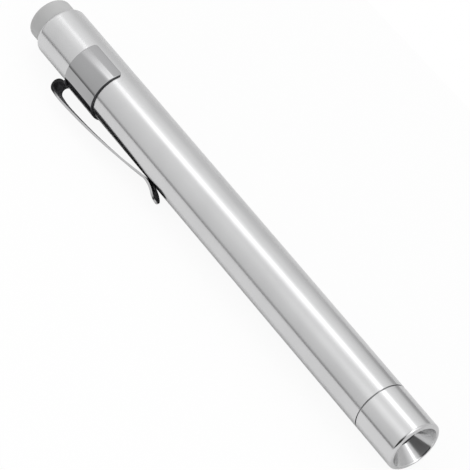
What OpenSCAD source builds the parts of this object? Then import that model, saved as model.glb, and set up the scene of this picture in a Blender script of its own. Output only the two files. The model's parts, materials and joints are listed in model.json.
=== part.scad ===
// Penlight for two slim cells: drawn tube barrel with a rolled tail lip, a screwed-on head
// with a conical reflector, a tail push button and a one-piece spring pocket clip.
// It lies on its side with the lamp towards +X, resting on the clip band and the clip arm.
// Stations along the barrel run from the face of the button towards the lamp.

/* [Body] */
// Outside diameter of barrel and head
body_d = 12.7; // [12.5:0.05:13.5]
// Wall of the drawn tube
wall_t = 0.6; // [0.5:0.05:0.65]
// Barrel length from tail lip to head seam
barrel_len = 123.3; // [122.8:0.1:126]
// Diameter of the hole in the rolled tail lip
lip_hole_d = 10.88; // [10.8:0.02:11]
// Thickness of the rolled tail lip
lip_t = 0.7; // [0.5:0.05:0.9]
// Bevel on each edge of the head seam
seam_bevel = 0.12; // [0.05:0.01:0.25]

/* [Head] */
// Head length from seam to front rim
head_len = 12; // [11.5:0.1:13]
// Diameter of the reflector mouth
mouth_d = 10.5; // [10.3:0.05:10.6]
// Rounding of the front rim
rim_round = 0.8; // [0.5:0.05:0.9]
// Thickness of the rim rolled over the reflector
rim_lip_t = 0.2; // [0.15:0.05:0.4]
// Depth of the reflector cone
cone_depth = 4; // [3.8:0.1:4.4]
// Diameter of the lamp hole at the apex of the cone
apex_d = 5.24; // [5.2:0.02:5.4]
// Wall of the spun reflector
reflector_t = 0.3; // [0.25:0.05:0.35]
// Length of the screwed spigot
spigot_len = 6.5; // [6.2:0.1:7]
// Radial clearance of the screwed spigot in the barrel
screw_gap = 0.07; // [0.04:0.01:0.1]

/* [Lamp] */
// Diameter of the lamp body
lamp_d = 5; // [4.9:0.05:5.1]
// Diameter of the lamp flange
lamp_flange_d = 5.8; // [5.6:0.05:6]
// Thickness of the lamp flange
lamp_flange_t = 1; // [0.8:0.1:1.2]
// Length of the lamp from base to dome
lamp_len = 8.7; // [8.5:0.1:9]
// Side of the square lamp leads
lead_w = 0.5; // [0.4:0.05:0.6]
// Spacing of the two leads
lead_pitch = 2.54; // [2.4:0.02:2.6]

/* [Switch] */
// Diameter of the push button
button_d = 10.7; // [10.5:0.02:10.72]
// How far the button stands out of the barrel
button_stand = 4.7; // [4:0.1:5]
// Rounding of the button edge
button_round = 0.7; // [0.4:0.05:1]
// Travel of the button to the closed contact
button_travel = 2; // [1.5:0.1:2.5]
// Thickness of the button flange
flange_t = 1.5; // [1.2:0.1:1.8]
// Station of the rear face of the switch body
switch_z = 14.1; // [13.8:0.1:14.5]
// Length of the switch body
switch_len = 11.9; // [11.5:0.1:12]
// Wire diameter of both springs
wire_d = 0.5; // [0.4:0.05:0.6]

/* [Cells] */
// Outside diameter of a cell without its jacket
cell_d = 10.2; // [10:0.05:10.25]
// Length of a cell over its terminal
cell_len = 44.5; // [44:0.1:44.5]
// Diameter of the positive terminal
nub_d = 3.8; // [3.4:0.1:3.8]
// Height of the positive terminal
nub_h = 1; // [0.8:0.1:1.2]
// Wall of the cell can
can_t = 0.25; // [0.2:0.05:0.3]
// Thickness of the cell jacket
jacket_t = 0.12; // [0.1:0.01:0.14]

/* [Clip] */
// Thickness of the spring steel strip
clip_t = 0.5; // [0.4:0.05:0.6]
// Length of the clip band along the barrel
band_len = 10.6; // [9:0.1:12]
// Distance from the tail lip to the band
band_from_lip = 13; // [11:0.1:14]
// Angle that the band wraps round the barrel
band_wrap = 265; // [240:1:270]
// Rounding of the corners of the band's ends
band_corner = 0.8; // [0.4:0.1:1.5]
// Width of the strip at the hairpin
root_w = 4.8; // [4:0.1:6]
// Width of the strip at its tip
tip_w = 3.8; // [3:0.1:4.6]
// Climb of the strip as it leaves the hairpin, degrees
arm_climb = 7; // [6:0.1:8]
// Length of the curve over the crest
crest_len = 4.2; // [3:0.1:6]
// Fall of the strip after the crest, degrees
crest_fall = 2.1; // [1.5:0.1:3]
// Length of the slightly bowed run to the foot
run_len = 27.5; // [26:0.1:30]
// Fall of the strip as it reaches the foot, degrees
foot_fall = 10.7; // [10:0.1:11.5]
// Bending radius of the foot
foot_r = 8.8; // [7:0.1:11]
// Lift of the tip, degrees
tip_lift = 24.4; // [18:0.1:32]
// Straight length of the tip
tip_len = 2.3; // [1.5:0.1:4]

/* [Hidden] */
$fn = 96;

// Clearances between pieces that are pressed together, and between pieces that slide
press_gap = 0.02;
slide_gap = 0.06;

// Radii of the body
body_r = body_d / 2;
bore_r = body_r - wall_t;
lip_hole_r = lip_hole_d / 2;
mouth_r = mouth_d / 2;
spigot_r = bore_r - screw_gap;

// Stations along the barrel
lip_z = button_stand;
lip_inner_z = lip_z + lip_t;
seam_z = lip_z + barrel_len;
front_z = seam_z + head_len;
spigot_z = seam_z - spigot_len;
total_len = front_z;

// Inside of the head
head_wall_t = 0.75;
shoulder_t = 1;
spigot_wall_t = 0.75;
spigot_bevel = 0.3;
cup_r = body_r - head_wall_t;
holder_bore_r = spigot_r - spigot_wall_t;
shoulder_z = seam_z + shoulder_t;
rim_inner_z = front_z - rim_lip_t;

// Reflector
reflector_flange_t = 0.4;
neck_len = 1.4;
apex_r = apex_d / 2;
apex_z = rim_inner_z - cone_depth;
neck_z = apex_z - neck_len;

// Lamp, its leads and its holder
lamp_r = lamp_d / 2;
lamp_flange_r = lamp_flange_d / 2;
lamp_stand = 0.7;
lamp_top_z = apex_z + lamp_stand;
lamp_base_z = lamp_top_z - lamp_len;
lamp_flange_z = lamp_base_z + lamp_flange_t;
dome_z = lamp_top_z - lamp_r;
holder_r = holder_bore_r - press_gap;
lead_post = 2.6;
anvil_r = 0.8;
anvil_t = 0.9;
anvil_z = lamp_base_z + lead_post;
chip_w = 0.7;
chip_t = 0.15;
earth_tail_drop = 2;
earth_tail_z = lamp_base_z - earth_tail_drop;

// Lamp contact and the row of cells behind it
plug_len = 2.2;
plug_nose_r = 2;
plug_nose_h = 0.9;
plug_gap = 4;
plug_z = lamp_base_z - plug_gap - plug_len;
cavity_r = lamp_flange_r + press_gap;
contact_z = plug_z - plug_nose_h;
cell_r = cell_d / 2;
nub_r = nub_d / 2;
cell_bevel = 0.4;
front_cell_z = contact_z - cell_len;
rear_cell_z = front_cell_z - cell_len;
jacket_r = cell_r + jacket_t;
jacket_lip = 1.2;
jacket_inset = 0.5;
sleeve_in_r = jacket_r + slide_gap;
sleeve_out_r = bore_r - press_gap;

// Button and contact plunger
button_r = button_d / 2;
button_floor = 1.3;
button_wall = 0.95;
button_flange_r = bore_r - slide_gap;
button_cavity_r = button_r - button_wall;
flange_z = lip_inner_z;
button_end_z = flange_z + flange_t;
stake_r = 1;
stake_len = 0.7;
plunger_flange_r = 4;
plunger_flange_t = 0.6;
plunger_r = 1.3;
plunger_seat_z = button_floor + plunger_flange_t;

// Fixed contacts of the switch
washer_t = 0.5;
washer_hole_r = 2.4;
washer_z = switch_z - washer_t;
rivet_head_r = 1.7;
rivet_head_t = 0.9;
rivet_shank_r = 1;
rivet_face_z = switch_z - rivet_head_t;
plunger_nose_z = rivet_face_z - button_travel;
nose_bevel = 0.3;
switch_end_z = switch_z + switch_len;
spring_well_len = 5;
spring_well_r = 4.6;
well_z = switch_end_z - spring_well_len;
rivet_flange_r = 4.2;
rivet_flange_t = 0.6;
cell_spring_z = well_z + rivet_flange_t;

// Springs
coil_steps = 8;
wire_sides = 6;
return_turns = 6;
return_coil_r = 3.2;
cell_turns = 5;
cell_coil_base_r = 3.7;
cell_coil_top_r = 2.3;

// Clip strip: the hairpin radius follows from a foot that just clears the barrel
degree = PI / 180;
foot_gap = 0.05;
stem_offset = 0.08;
stem_lap = 0.8;
stem_lead = 0.7;
band_in_r = body_r + press_gap;
band_out_r = band_in_r + clip_t;
band_z = lip_z + band_from_lip;
stem_r = band_in_r + stem_offset + clip_t / 2;
crest_r = crest_len / ((arm_climb + crest_fall) * degree);
run_r = run_len / ((foot_fall - crest_fall) * degree);
crest_drop = crest_r * (cos(crest_fall) - cos(arm_climb));
run_drop = run_r * (cos(foot_fall) - cos(crest_fall));
foot_drop = foot_r * (cos(foot_fall) - 1);
foot_level = body_r + foot_gap + clip_t / 2;
hairpin_r = (foot_level - stem_r - crest_drop - run_drop - foot_drop) / (1 + cos(arm_climb));
hairpin_z = band_z - stem_lead;
hairpin_top_z = hairpin_z - hairpin_r - clip_t / 2;
crest_reach = stem_r + hairpin_r * (1 + cos(arm_climb)) + crest_r * (1 - cos(arm_climb)) + clip_t / 2;
crest_z = hairpin_z + (crest_r - hairpin_r) * sin(arm_climb);

// Lying place: the band and the lower edge of the strip at its crest rest on the ground
axis_z = band_out_r;
corner_reach = sqrt(pow(crest_reach, 2) + pow(root_w / 2, 2));
corner_angle = atan(root_w / 2 / crest_reach);
clip_roll = asin(axis_z / corner_reach) - corner_angle;
clip_side = crest_reach * cos(clip_roll) + root_w / 2 * sin(clip_roll);
plain_side = max(body_r, band_out_r * cos(180 - clip_roll - band_wrap / 2));
axis_y = (clip_side - plain_side) / 2;

// Points on an arc of a given centre and radius
function arc(centre, radius, from, to, steps) =
  [for (i = [0 : steps]) let (a = from + (to - from) * i / steps) centre + radius * [cos(a), sin(a)]];

// A strip's centre line is a list of [station, reach, heading]; walk adds one straight or curved stretch
function walk(line, stretch, turn, steps) =
  let (q = line[len(line) - 1], r = turn == 0 ? 0 : stretch / (turn * degree))
  concat(line, [for (i = [1 : steps])
    let (a = q[2] + turn * i / steps)
    turn == 0
      ? [q[0] + stretch * i / steps * cos(a), q[1] + stretch * i / steps * sin(a), a]
      : [q[0] + r * (sin(a) - sin(q[2])), q[1] + r * (cos(q[2]) - cos(a)), a]]);

// Outline of a strip of even thickness along its centre line, as [reach, station]
function strip_side(line, offset) =
  [for (q = line) [q[1] + offset * cos(q[2]), q[0] - offset * sin(q[2])]];
function reversed(list) = [for (i = [len(list) - 1 : -1 : 0]) list[i]];
function strip_outline(line) =
  concat(strip_side(line, clip_t / 2), reversed(strip_side(line, -clip_t / 2)));

hairpin_steps = 12;
bend_steps = 10;
corner_steps = 5;
stem_start = [[band_z + stem_lap, stem_r, 180]];
stem_line = walk(walk(stem_start, stem_lap + stem_lead, 0, 1), hairpin_r * 90 * degree, -90, hairpin_steps);
arm_start = [[hairpin_z - hairpin_r, stem_r + hairpin_r, 90]];
arm_hairpin = walk(arm_start, hairpin_r * (90 - arm_climb) * degree, arm_climb - 90, hairpin_steps);
arm_crest = walk(arm_hairpin, crest_len, -arm_climb - crest_fall, bend_steps);
arm_run = walk(arm_crest, run_len, crest_fall - foot_fall, bend_steps);
arm_foot = walk(arm_run, foot_r * (foot_fall + tip_lift) * degree, foot_fall + tip_lift, bend_steps);
arm_line = walk(arm_foot, tip_len, 0, 1);
tip_z = arm_line[len(arm_line) - 1][0];
tip_round_z = tip_z - tip_w / 2;

// Centre line of a coil between two seats, with a short straight tail square to each seat
function coil_line(from_z, to_z, from_r, to_r, turns) =
  let (count = turns * coil_steps, low = from_z + wire_d, high = to_z - wire_d)
  concat(
    [[from_r, 0, from_z]],
    [for (i = [0 : count])
      let (f = i / count, a = 360 * turns * f, r = from_r + (to_r - from_r) * f)
      [r * cos(a), r * sin(a), low + (high - low) * f]],
    [[to_r, 0, to_z]]);

// Least clear distance between different turns of a coil
function coil_gap(line) = min([for (i = [0 : len(line) - 1], j = [i : len(line) - 1])
  j - i > coil_steps / 2 ? norm(line[i] - line[j]) - wire_d : wire_d * coil_steps]);

return_line = coil_line(plunger_seat_z, washer_z, return_coil_r, return_coil_r, return_turns);
cell_line = coil_line(cell_spring_z, rear_cell_z, cell_coil_base_r, cell_coil_top_r, cell_turns);
echo(return_spring_gap = coil_gap(return_line), cell_spring_gap = coil_gap(cell_line));

// Puts a piece that is modelled along Z onto the barrel's axis
module on_axis() {
  translate([-total_len / 2, axis_y, axis_z]) rotate([0, 90, 0]) children();
}

// A turned piece from its outline of [radius, station]
module turned(outline) {
  on_axis() rotate_extrude() polygon(outline);
}

// Turns a clip piece, modelled towards +X, to the side that the clip lies on
module on_clip_side() {
  on_axis() rotate([0, 0, clip_roll - 90]) children();
}

// Round wire swept along a coil's centre line
module wire(line) {
  last = len(line) - 1;
  ring_of = function (i)
    let (
      ahead = line[min(i + 1, last)] - line[max(i - 1, 0)],
      out = [line[i][0], line[i][1], 0] / norm([line[i][0], line[i][1]]),
      side = cross(ahead / norm(ahead), out))
    [for (k = [0 : wire_sides - 1])
      let (a = 360 * k / wire_sides)
      line[i] + wire_d / 2 * (cos(a) * out + sin(a) * side / norm(side))];
  square_ring_of = function (i)
    [for (p = ring_of(i)) [p[0], p[1], line[i][2]]];
  points = [for (i = [0 : last]) each (i == 0 || i == last ? square_ring_of(i) : ring_of(i))];
  walls = [for (i = [0 : last - 1], k = [0 : wire_sides - 1])
    let (
      a = i * wire_sides + k,
      b = i * wire_sides + (k + 1) % wire_sides)
    each [[a, b, b + wire_sides], [a, b + wire_sides, a + wire_sides]]];
  first_cap = [for (k = [1 : wire_sides - 2]) [0, k + 1, k]];
  end = last * wire_sides;
  last_cap = [for (k = [1 : wire_sides - 2]) [end, end + k, end + k + 1]];
  polyhedron(points, concat(walls, first_cap, last_cap));
}

module barrel() {
  tail_round = body_r - lip_hole_r;
  color("silver") turned(concat(
    arc([lip_hole_r, lip_z + tail_round], tail_round, 270, 360, 8),
    [[body_r, seam_z - seam_bevel], [body_r - seam_bevel, seam_z], [bore_r, seam_z],
     [bore_r, lip_inner_z], [lip_hole_r, lip_inner_z]]));
}

module head_shell() {
  color("silver") turned(concat(
    [[holder_bore_r, spigot_z], [spigot_r - spigot_bevel, spigot_z], [spigot_r, spigot_z + spigot_bevel],
     [spigot_r, seam_z], [body_r - seam_bevel, seam_z], [body_r, seam_z + seam_bevel]],
    arc([body_r - rim_round, front_z - rim_round], rim_round, 0, 90, 8),
    [[mouth_r, front_z], [mouth_r, rim_inner_z], [cup_r, rim_inner_z], [cup_r, shoulder_z],
     [holder_bore_r, shoulder_z]]));
}

module reflector() {
  flange_r = cup_r - press_gap;
  color("gainsboro") turned([
    [mouth_r, rim_inner_z], [apex_r, apex_z], [apex_r, neck_z], [apex_r + reflector_t, neck_z],
    [apex_r + reflector_t, apex_z], [flange_r, rim_inner_z - reflector_flange_t], [flange_r, rim_inner_z]]);
}

// Shapes of the lamp's metal, which its clear body is cast round
module anode_shape() {
  on_axis() translate([lead_pitch / 2 - lead_w / 2, -lead_w / 2, plug_z + plug_len])
    cube([lead_w, lead_w, anvil_z + anvil_t - plug_z - plug_len]);
}

module cathode_shape() {
  post_x = -lead_pitch / 2 - lead_w / 2;
  on_axis() {
    translate([post_x, -lead_w / 2, earth_tail_z]) cube([lead_w, lead_w, anvil_z - earth_tail_z + lead_w]);
    translate([post_x, -lead_w / 2, anvil_z]) cube([-post_x, lead_w, lead_w]);
    translate([0, 0, anvil_z]) cylinder(r = anvil_r, h = anvil_t);
    translate([-holder_r, -lead_w / 2, earth_tail_z]) cube([holder_r + post_x + lead_w, lead_w, lead_w]);
  }
}

module chip_shape() {
  on_axis() translate([-chip_w / 2, -chip_w / 2, anvil_z + anvil_t]) cube([chip_w, chip_w, chip_t]);
}

module lamp() {
  color("azure", 0.6) difference() {
    turned(concat(
      [[0, lamp_base_z], [lamp_flange_r, lamp_base_z], [lamp_flange_r, lamp_flange_z], [lamp_r, lamp_flange_z]],
      arc([0, dome_z], lamp_r, 0, 90, 12)));
    anode_shape();
    cathode_shape();
    chip_shape();
  }
}

module lamp_chip() {
  color("gold") chip_shape();
}

module anode_lead() {
  color("lightgray") anode_shape();
}

module cathode_lead() {
  color("lightgray") cathode_shape();
}

module lamp_holder() {
  slot_w = lead_w + 2 * press_gap;
  color("dimgray") difference() {
    turned([
      [cavity_r, plug_z], [holder_r, plug_z], [holder_r, neck_z], [lamp_r + press_gap, neck_z],
      [lamp_r + press_gap, lamp_flange_z], [cavity_r, lamp_flange_z]]);
    on_axis() translate([-body_r, -slot_w / 2, earth_tail_z - press_gap]) cube([body_r, slot_w, slot_w]);
  }
}

module lamp_contact() {
  plug_r = cavity_r - press_gap;
  color("goldenrod") turned([
    [0, contact_z], [plug_nose_r - nose_bevel, contact_z], [plug_nose_r, contact_z + nose_bevel],
    [plug_nose_r, plug_z], [plug_r, plug_z], [plug_r, plug_z + plug_len], [0, plug_z + plug_len]]);
}

// One slim cell: steel can with its terminal, filling and printed jacket
module cell_can(z) {
  top = z + cell_len - nub_h;
  inner_r = cell_r - can_t;
  turned([
    [0, z], [cell_r - cell_bevel, z], [cell_r, z + cell_bevel], [cell_r, top - cell_bevel],
    [cell_r - cell_bevel, top], [nub_r, top], [nub_r, top + nub_h - can_t], [nub_r - can_t, top + nub_h],
    [0, top + nub_h], [0, top - cell_bevel], [inner_r, top - cell_bevel], [inner_r, z + cell_bevel],
    [0, z + cell_bevel]]);
}

module cell_core(z) {
  core_r = cell_r - can_t - press_gap;
  low = z + cell_bevel;
  high = z + cell_len - nub_h - cell_bevel;
  turned([[0, low], [core_r, low], [core_r, high], [0, high]]);
}

module cell_jacket(z) {
  inner_r = cell_r + press_gap;
  top = z + cell_len - nub_h;
  turned([
    [inner_r, z + jacket_inset], [jacket_r, z + jacket_inset], [jacket_r, top + jacket_t],
    [cell_r - jacket_lip, top + jacket_t], [cell_r - jacket_lip, top], [inner_r, top]]);
}

module front_cell_can() {
  color("gray") cell_can(front_cell_z);
}

module front_cell_core() {
  color("darkslategray") cell_core(front_cell_z);
}

module front_cell_jacket() {
  color("steelblue") cell_jacket(front_cell_z);
}

module rear_cell_can() {
  color("gray") cell_can(rear_cell_z);
}

module rear_cell_core() {
  color("darkslategray") cell_core(rear_cell_z);
}

module rear_cell_jacket() {
  color("steelblue") cell_jacket(rear_cell_z);
}

module cell_sleeve() {
  sleeve_end_z = spigot_z - spigot_bevel;
  color("wheat") turned([
    [sleeve_in_r, switch_end_z], [sleeve_out_r, switch_end_z],
    [sleeve_out_r, sleeve_end_z], [sleeve_in_r, sleeve_end_z]]);
}

module cell_spring() {
  color("gray") on_axis() wire(cell_line);
}

module switch_body() {
  shell_r = bore_r - press_gap;
  shank_hole_r = rivet_shank_r + press_gap;
  color("ivory") turned([
    [shank_hole_r, switch_z], [shell_r, switch_z], [shell_r, switch_end_z], [spring_well_r, switch_end_z],
    [spring_well_r, well_z], [shank_hole_r, well_z]]);
}

module contact_rivet() {
  color("goldenrod") turned([
    [0, rivet_face_z], [rivet_head_r - nose_bevel, rivet_face_z], [rivet_head_r, rivet_face_z + nose_bevel],
    [rivet_head_r, switch_z], [rivet_shank_r, switch_z], [rivet_shank_r, well_z],
    [rivet_flange_r, well_z], [rivet_flange_r, cell_spring_z], [0, cell_spring_z]]);
}

module earth_washer() {
  washer_r = bore_r - press_gap;
  color("lightgray") turned([
    [washer_hole_r, washer_z], [washer_r, washer_z], [washer_r, switch_z], [washer_hole_r, switch_z]]);
}

module return_spring() {
  color("gray") on_axis() wire(return_line);
}

module contact_plunger() {
  stake_z = button_floor - stake_len;
  color("goldenrod") turned([
    [0, stake_z], [stake_r, stake_z], [stake_r, button_floor], [plunger_flange_r, button_floor],
    [plunger_flange_r, plunger_seat_z], [plunger_r, plunger_seat_z], [plunger_r, plunger_nose_z - nose_bevel],
    [plunger_r - nose_bevel, plunger_nose_z], [0, plunger_nose_z]]);
}

module push_button() {
  stake_hole_r = stake_r + press_gap;
  stake_z = button_floor - stake_len;
  color("darkgray") turned(concat(
    [[0, 0]],
    arc([button_r - button_round, button_round], button_round, 270, 360, 8),
    [[button_r, flange_z], [button_flange_r, flange_z], [button_flange_r, button_end_z],
     [button_cavity_r, button_end_z], [button_cavity_r, button_floor], [stake_hole_r, button_floor],
     [stake_hole_r, stake_z], [0, stake_z]]));
}

// What rounding takes off a corner of the band, whose metal lies to the given sides of the corner
module corner_waste(side, edge) {
  margin = clip_t;
  inset = 0.9 * band_corner;
  waste = concat(
    [[-margin, -margin], [inset, -margin]],
    arc([inset, inset], band_corner, 270, 180, corner_steps),
    [[-margin, inset]]);
  polygon([for (p = waste) [side * p[0], edge * p[1]]]);
}

// Band that wraps the barrel, with the stem and the near half of the hairpin
module clip_band() {
  color("lightslategray") on_clip_side() {
    difference() {
      rotate([0, 0, -band_wrap / 2]) rotate_extrude(angle = band_wrap)
        translate([band_in_r, band_z]) square([clip_t, band_len]);
      for (end = [-1, 1], edge = [-1, 1])
        rotate([0, 0, end * band_wrap / 2])
          translate([band_in_r - clip_t, 0, band_z + (1 - edge) * band_len / 2])
            rotate([90, 0, 90]) linear_extrude(3 * clip_t) corner_waste(-end, edge);
    }
    rotate([90, 0, 0]) linear_extrude(root_w, center = true) polygon(strip_outline(stem_line));
  }
}

// Arm with the far half of the hairpin, the crest, the foot and the lifted tip
module clip_arm() {
  plan = concat(
    [[-root_w / 2, hairpin_top_z - clip_t], [root_w / 2, hairpin_top_z - clip_t], [root_w / 2, crest_z]],
    arc([0, tip_round_z], tip_w / 2, 0, 180, 12),
    [[-root_w / 2, crest_z]]);
  color("lightslategray") on_clip_side() intersection() {
    rotate([90, 0, 0]) linear_extrude(root_w, center = true) polygon(strip_outline(arm_line));
    rotate([90, 0, 90]) linear_extrude(crest_reach + clip_t) polygon(plan);
  }
}

barrel();
head_shell();
reflector();
lamp();
lamp_chip();
anode_lead();
cathode_lead();
lamp_holder();
lamp_contact();
front_cell_can();
front_cell_core();
front_cell_jacket();
rear_cell_can();
rear_cell_core();
rear_cell_jacket();
cell_sleeve();
cell_spring();
switch_body();
contact_rivet();
earth_washer();
return_spring();
contact_plunger();
push_button();
clip_band();
clip_arm();
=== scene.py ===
import json
from math import atan2, cos, hypot, pi, radians, sin, sqrt, tan, tau
from types import SimpleNamespace

import bpy
from mathutils import Matrix, Vector


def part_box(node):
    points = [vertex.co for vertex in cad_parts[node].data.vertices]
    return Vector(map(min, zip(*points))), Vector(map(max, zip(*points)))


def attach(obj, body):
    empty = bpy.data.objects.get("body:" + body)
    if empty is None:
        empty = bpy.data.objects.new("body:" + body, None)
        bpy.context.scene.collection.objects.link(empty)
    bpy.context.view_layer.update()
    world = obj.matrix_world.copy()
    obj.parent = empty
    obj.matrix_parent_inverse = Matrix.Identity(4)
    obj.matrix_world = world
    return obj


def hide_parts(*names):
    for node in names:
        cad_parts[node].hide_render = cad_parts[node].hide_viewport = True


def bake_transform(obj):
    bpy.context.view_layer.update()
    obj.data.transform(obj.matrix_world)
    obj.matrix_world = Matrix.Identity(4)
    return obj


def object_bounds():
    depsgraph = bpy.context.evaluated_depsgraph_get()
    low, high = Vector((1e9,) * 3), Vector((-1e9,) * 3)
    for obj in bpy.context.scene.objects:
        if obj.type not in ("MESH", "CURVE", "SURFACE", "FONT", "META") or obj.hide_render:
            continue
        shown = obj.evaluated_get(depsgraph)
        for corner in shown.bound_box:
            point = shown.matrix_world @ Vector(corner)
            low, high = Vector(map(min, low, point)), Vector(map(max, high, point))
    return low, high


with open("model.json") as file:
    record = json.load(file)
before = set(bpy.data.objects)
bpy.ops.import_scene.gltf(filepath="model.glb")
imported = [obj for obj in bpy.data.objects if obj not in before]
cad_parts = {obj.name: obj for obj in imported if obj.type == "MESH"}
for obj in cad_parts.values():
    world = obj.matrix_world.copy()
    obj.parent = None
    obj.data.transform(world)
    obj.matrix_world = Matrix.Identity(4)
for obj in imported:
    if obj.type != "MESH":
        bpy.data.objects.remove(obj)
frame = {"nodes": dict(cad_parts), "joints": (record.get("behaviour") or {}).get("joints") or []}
cad_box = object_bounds()

bl_info = {
    "name": "Penlight",
    "version": (1, 0, 0),
    "blender": (4, 5, 0),
    "location": "View3D > Sidebar > Penlight",
    "description": "Models a polished penlight with a sprung pocket clip on its packed solids",
    "category": "Object",
}

MM = 0.001
MICRON = 0.000001
DEGREE = pi / 180
CLOSE = MICRON

# Steps round a turned piece and round the band, and in each turn of the thread and of a spring
SEGMENTS = 144
BAND_COLUMNS = 180
THREAD_STEPS = 72
COIL_STEPS = 24

# Clearance of pieces that are pressed together, that slide and that are screwed
PRESS_GAP = 0.02 * MM
SLIDE_GAP = 0.06 * MM
SCREW_GAP = 0.07 * MM

# Setback and segments of the edges of turned pieces, and the place of a support loop beside a rounding
CRISP = (0.03 * MM, 2)
FINE = (0.1 * MM, 2)
SOFT = (0.12 * MM, 2)
CAST = (0.15 * MM, 3)
LOOP_GAP = 0.12 * MM

# Inner forms of the head, the reflector and the button
HEAD_WALL = 0.75 * MM
SHOULDER_T = 1.0 * MM
NECK_LEN = 1.4 * MM
UNDERCUT_LEN = 0.9 * MM
UNDERCUT = 0.12 * MM
RIM_CREASE = 22 * DEGREE
LIP_CHAMFER = 0.13 * MM
REFLECTOR_FLANGE_T = 0.4 * MM
STEP_W = 0.4 * MM
STEP_DEPTH = 0.27 * MM
BUTTON_WALL = 0.95 * MM
BUTTON_FLOOR = 1.3 * MM
STAKE_R = 1.02 * MM
STAKE_END = 0.6 * MM

# Clip: how it stands off the barrel, its bevel, and the slope of the place where it bends
STEM_GAP = 0.1 * MM
FOOT_GAP = 0.05 * MM
STEM_LEAD = 0.7 * MM
STEM_TURN = 24 * DEGREE
CLIP_BEVEL = 0.12 * MM

# Image side and focal length in pixels, and the width of the camera's sensor in millimetres
IMAGE_SIDE = 470.0
FOCAL_LENGTH = 2984.6
SENSOR = 36.0

joints = {joint["name"]: joint for joint in frame["joints"]}
axis_point = Vector(joints["head_unscrew"]["pos_m"])
clip_across = Vector(joints["clip_flex"]["axis"])
total_length = cad_box[1][0] - cad_box[0][0]


def number(name, description, default, low, high, **kind):
    """A number that the user may change, between two limits."""
    return bpy.props.FloatProperty(
        name=name, description=description, default=default, min=low, max=high, **kind
    )


def size(name, description, *millimetres):
    """A length, held in metres."""
    return number(name, description, *(length * MM for length in millimetres), precision=5, unit="LENGTH")


def bend(name, description, *degrees):
    """An angle."""
    return number(name, description, *map(radians, degrees), unit="ROTATION", subtype="ANGLE")


def share(name, description, default, high=1.0):
    """A plain number from zero up."""
    return number(name, description, default, 0.0, high, subtype="FACTOR")


def tint(name, description, colour):
    """A colour."""
    return bpy.props.FloatVectorProperty(
        name=name, description=description, default=colour, size=3, min=0.0, max=1.0, subtype="COLOR"
    )


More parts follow.
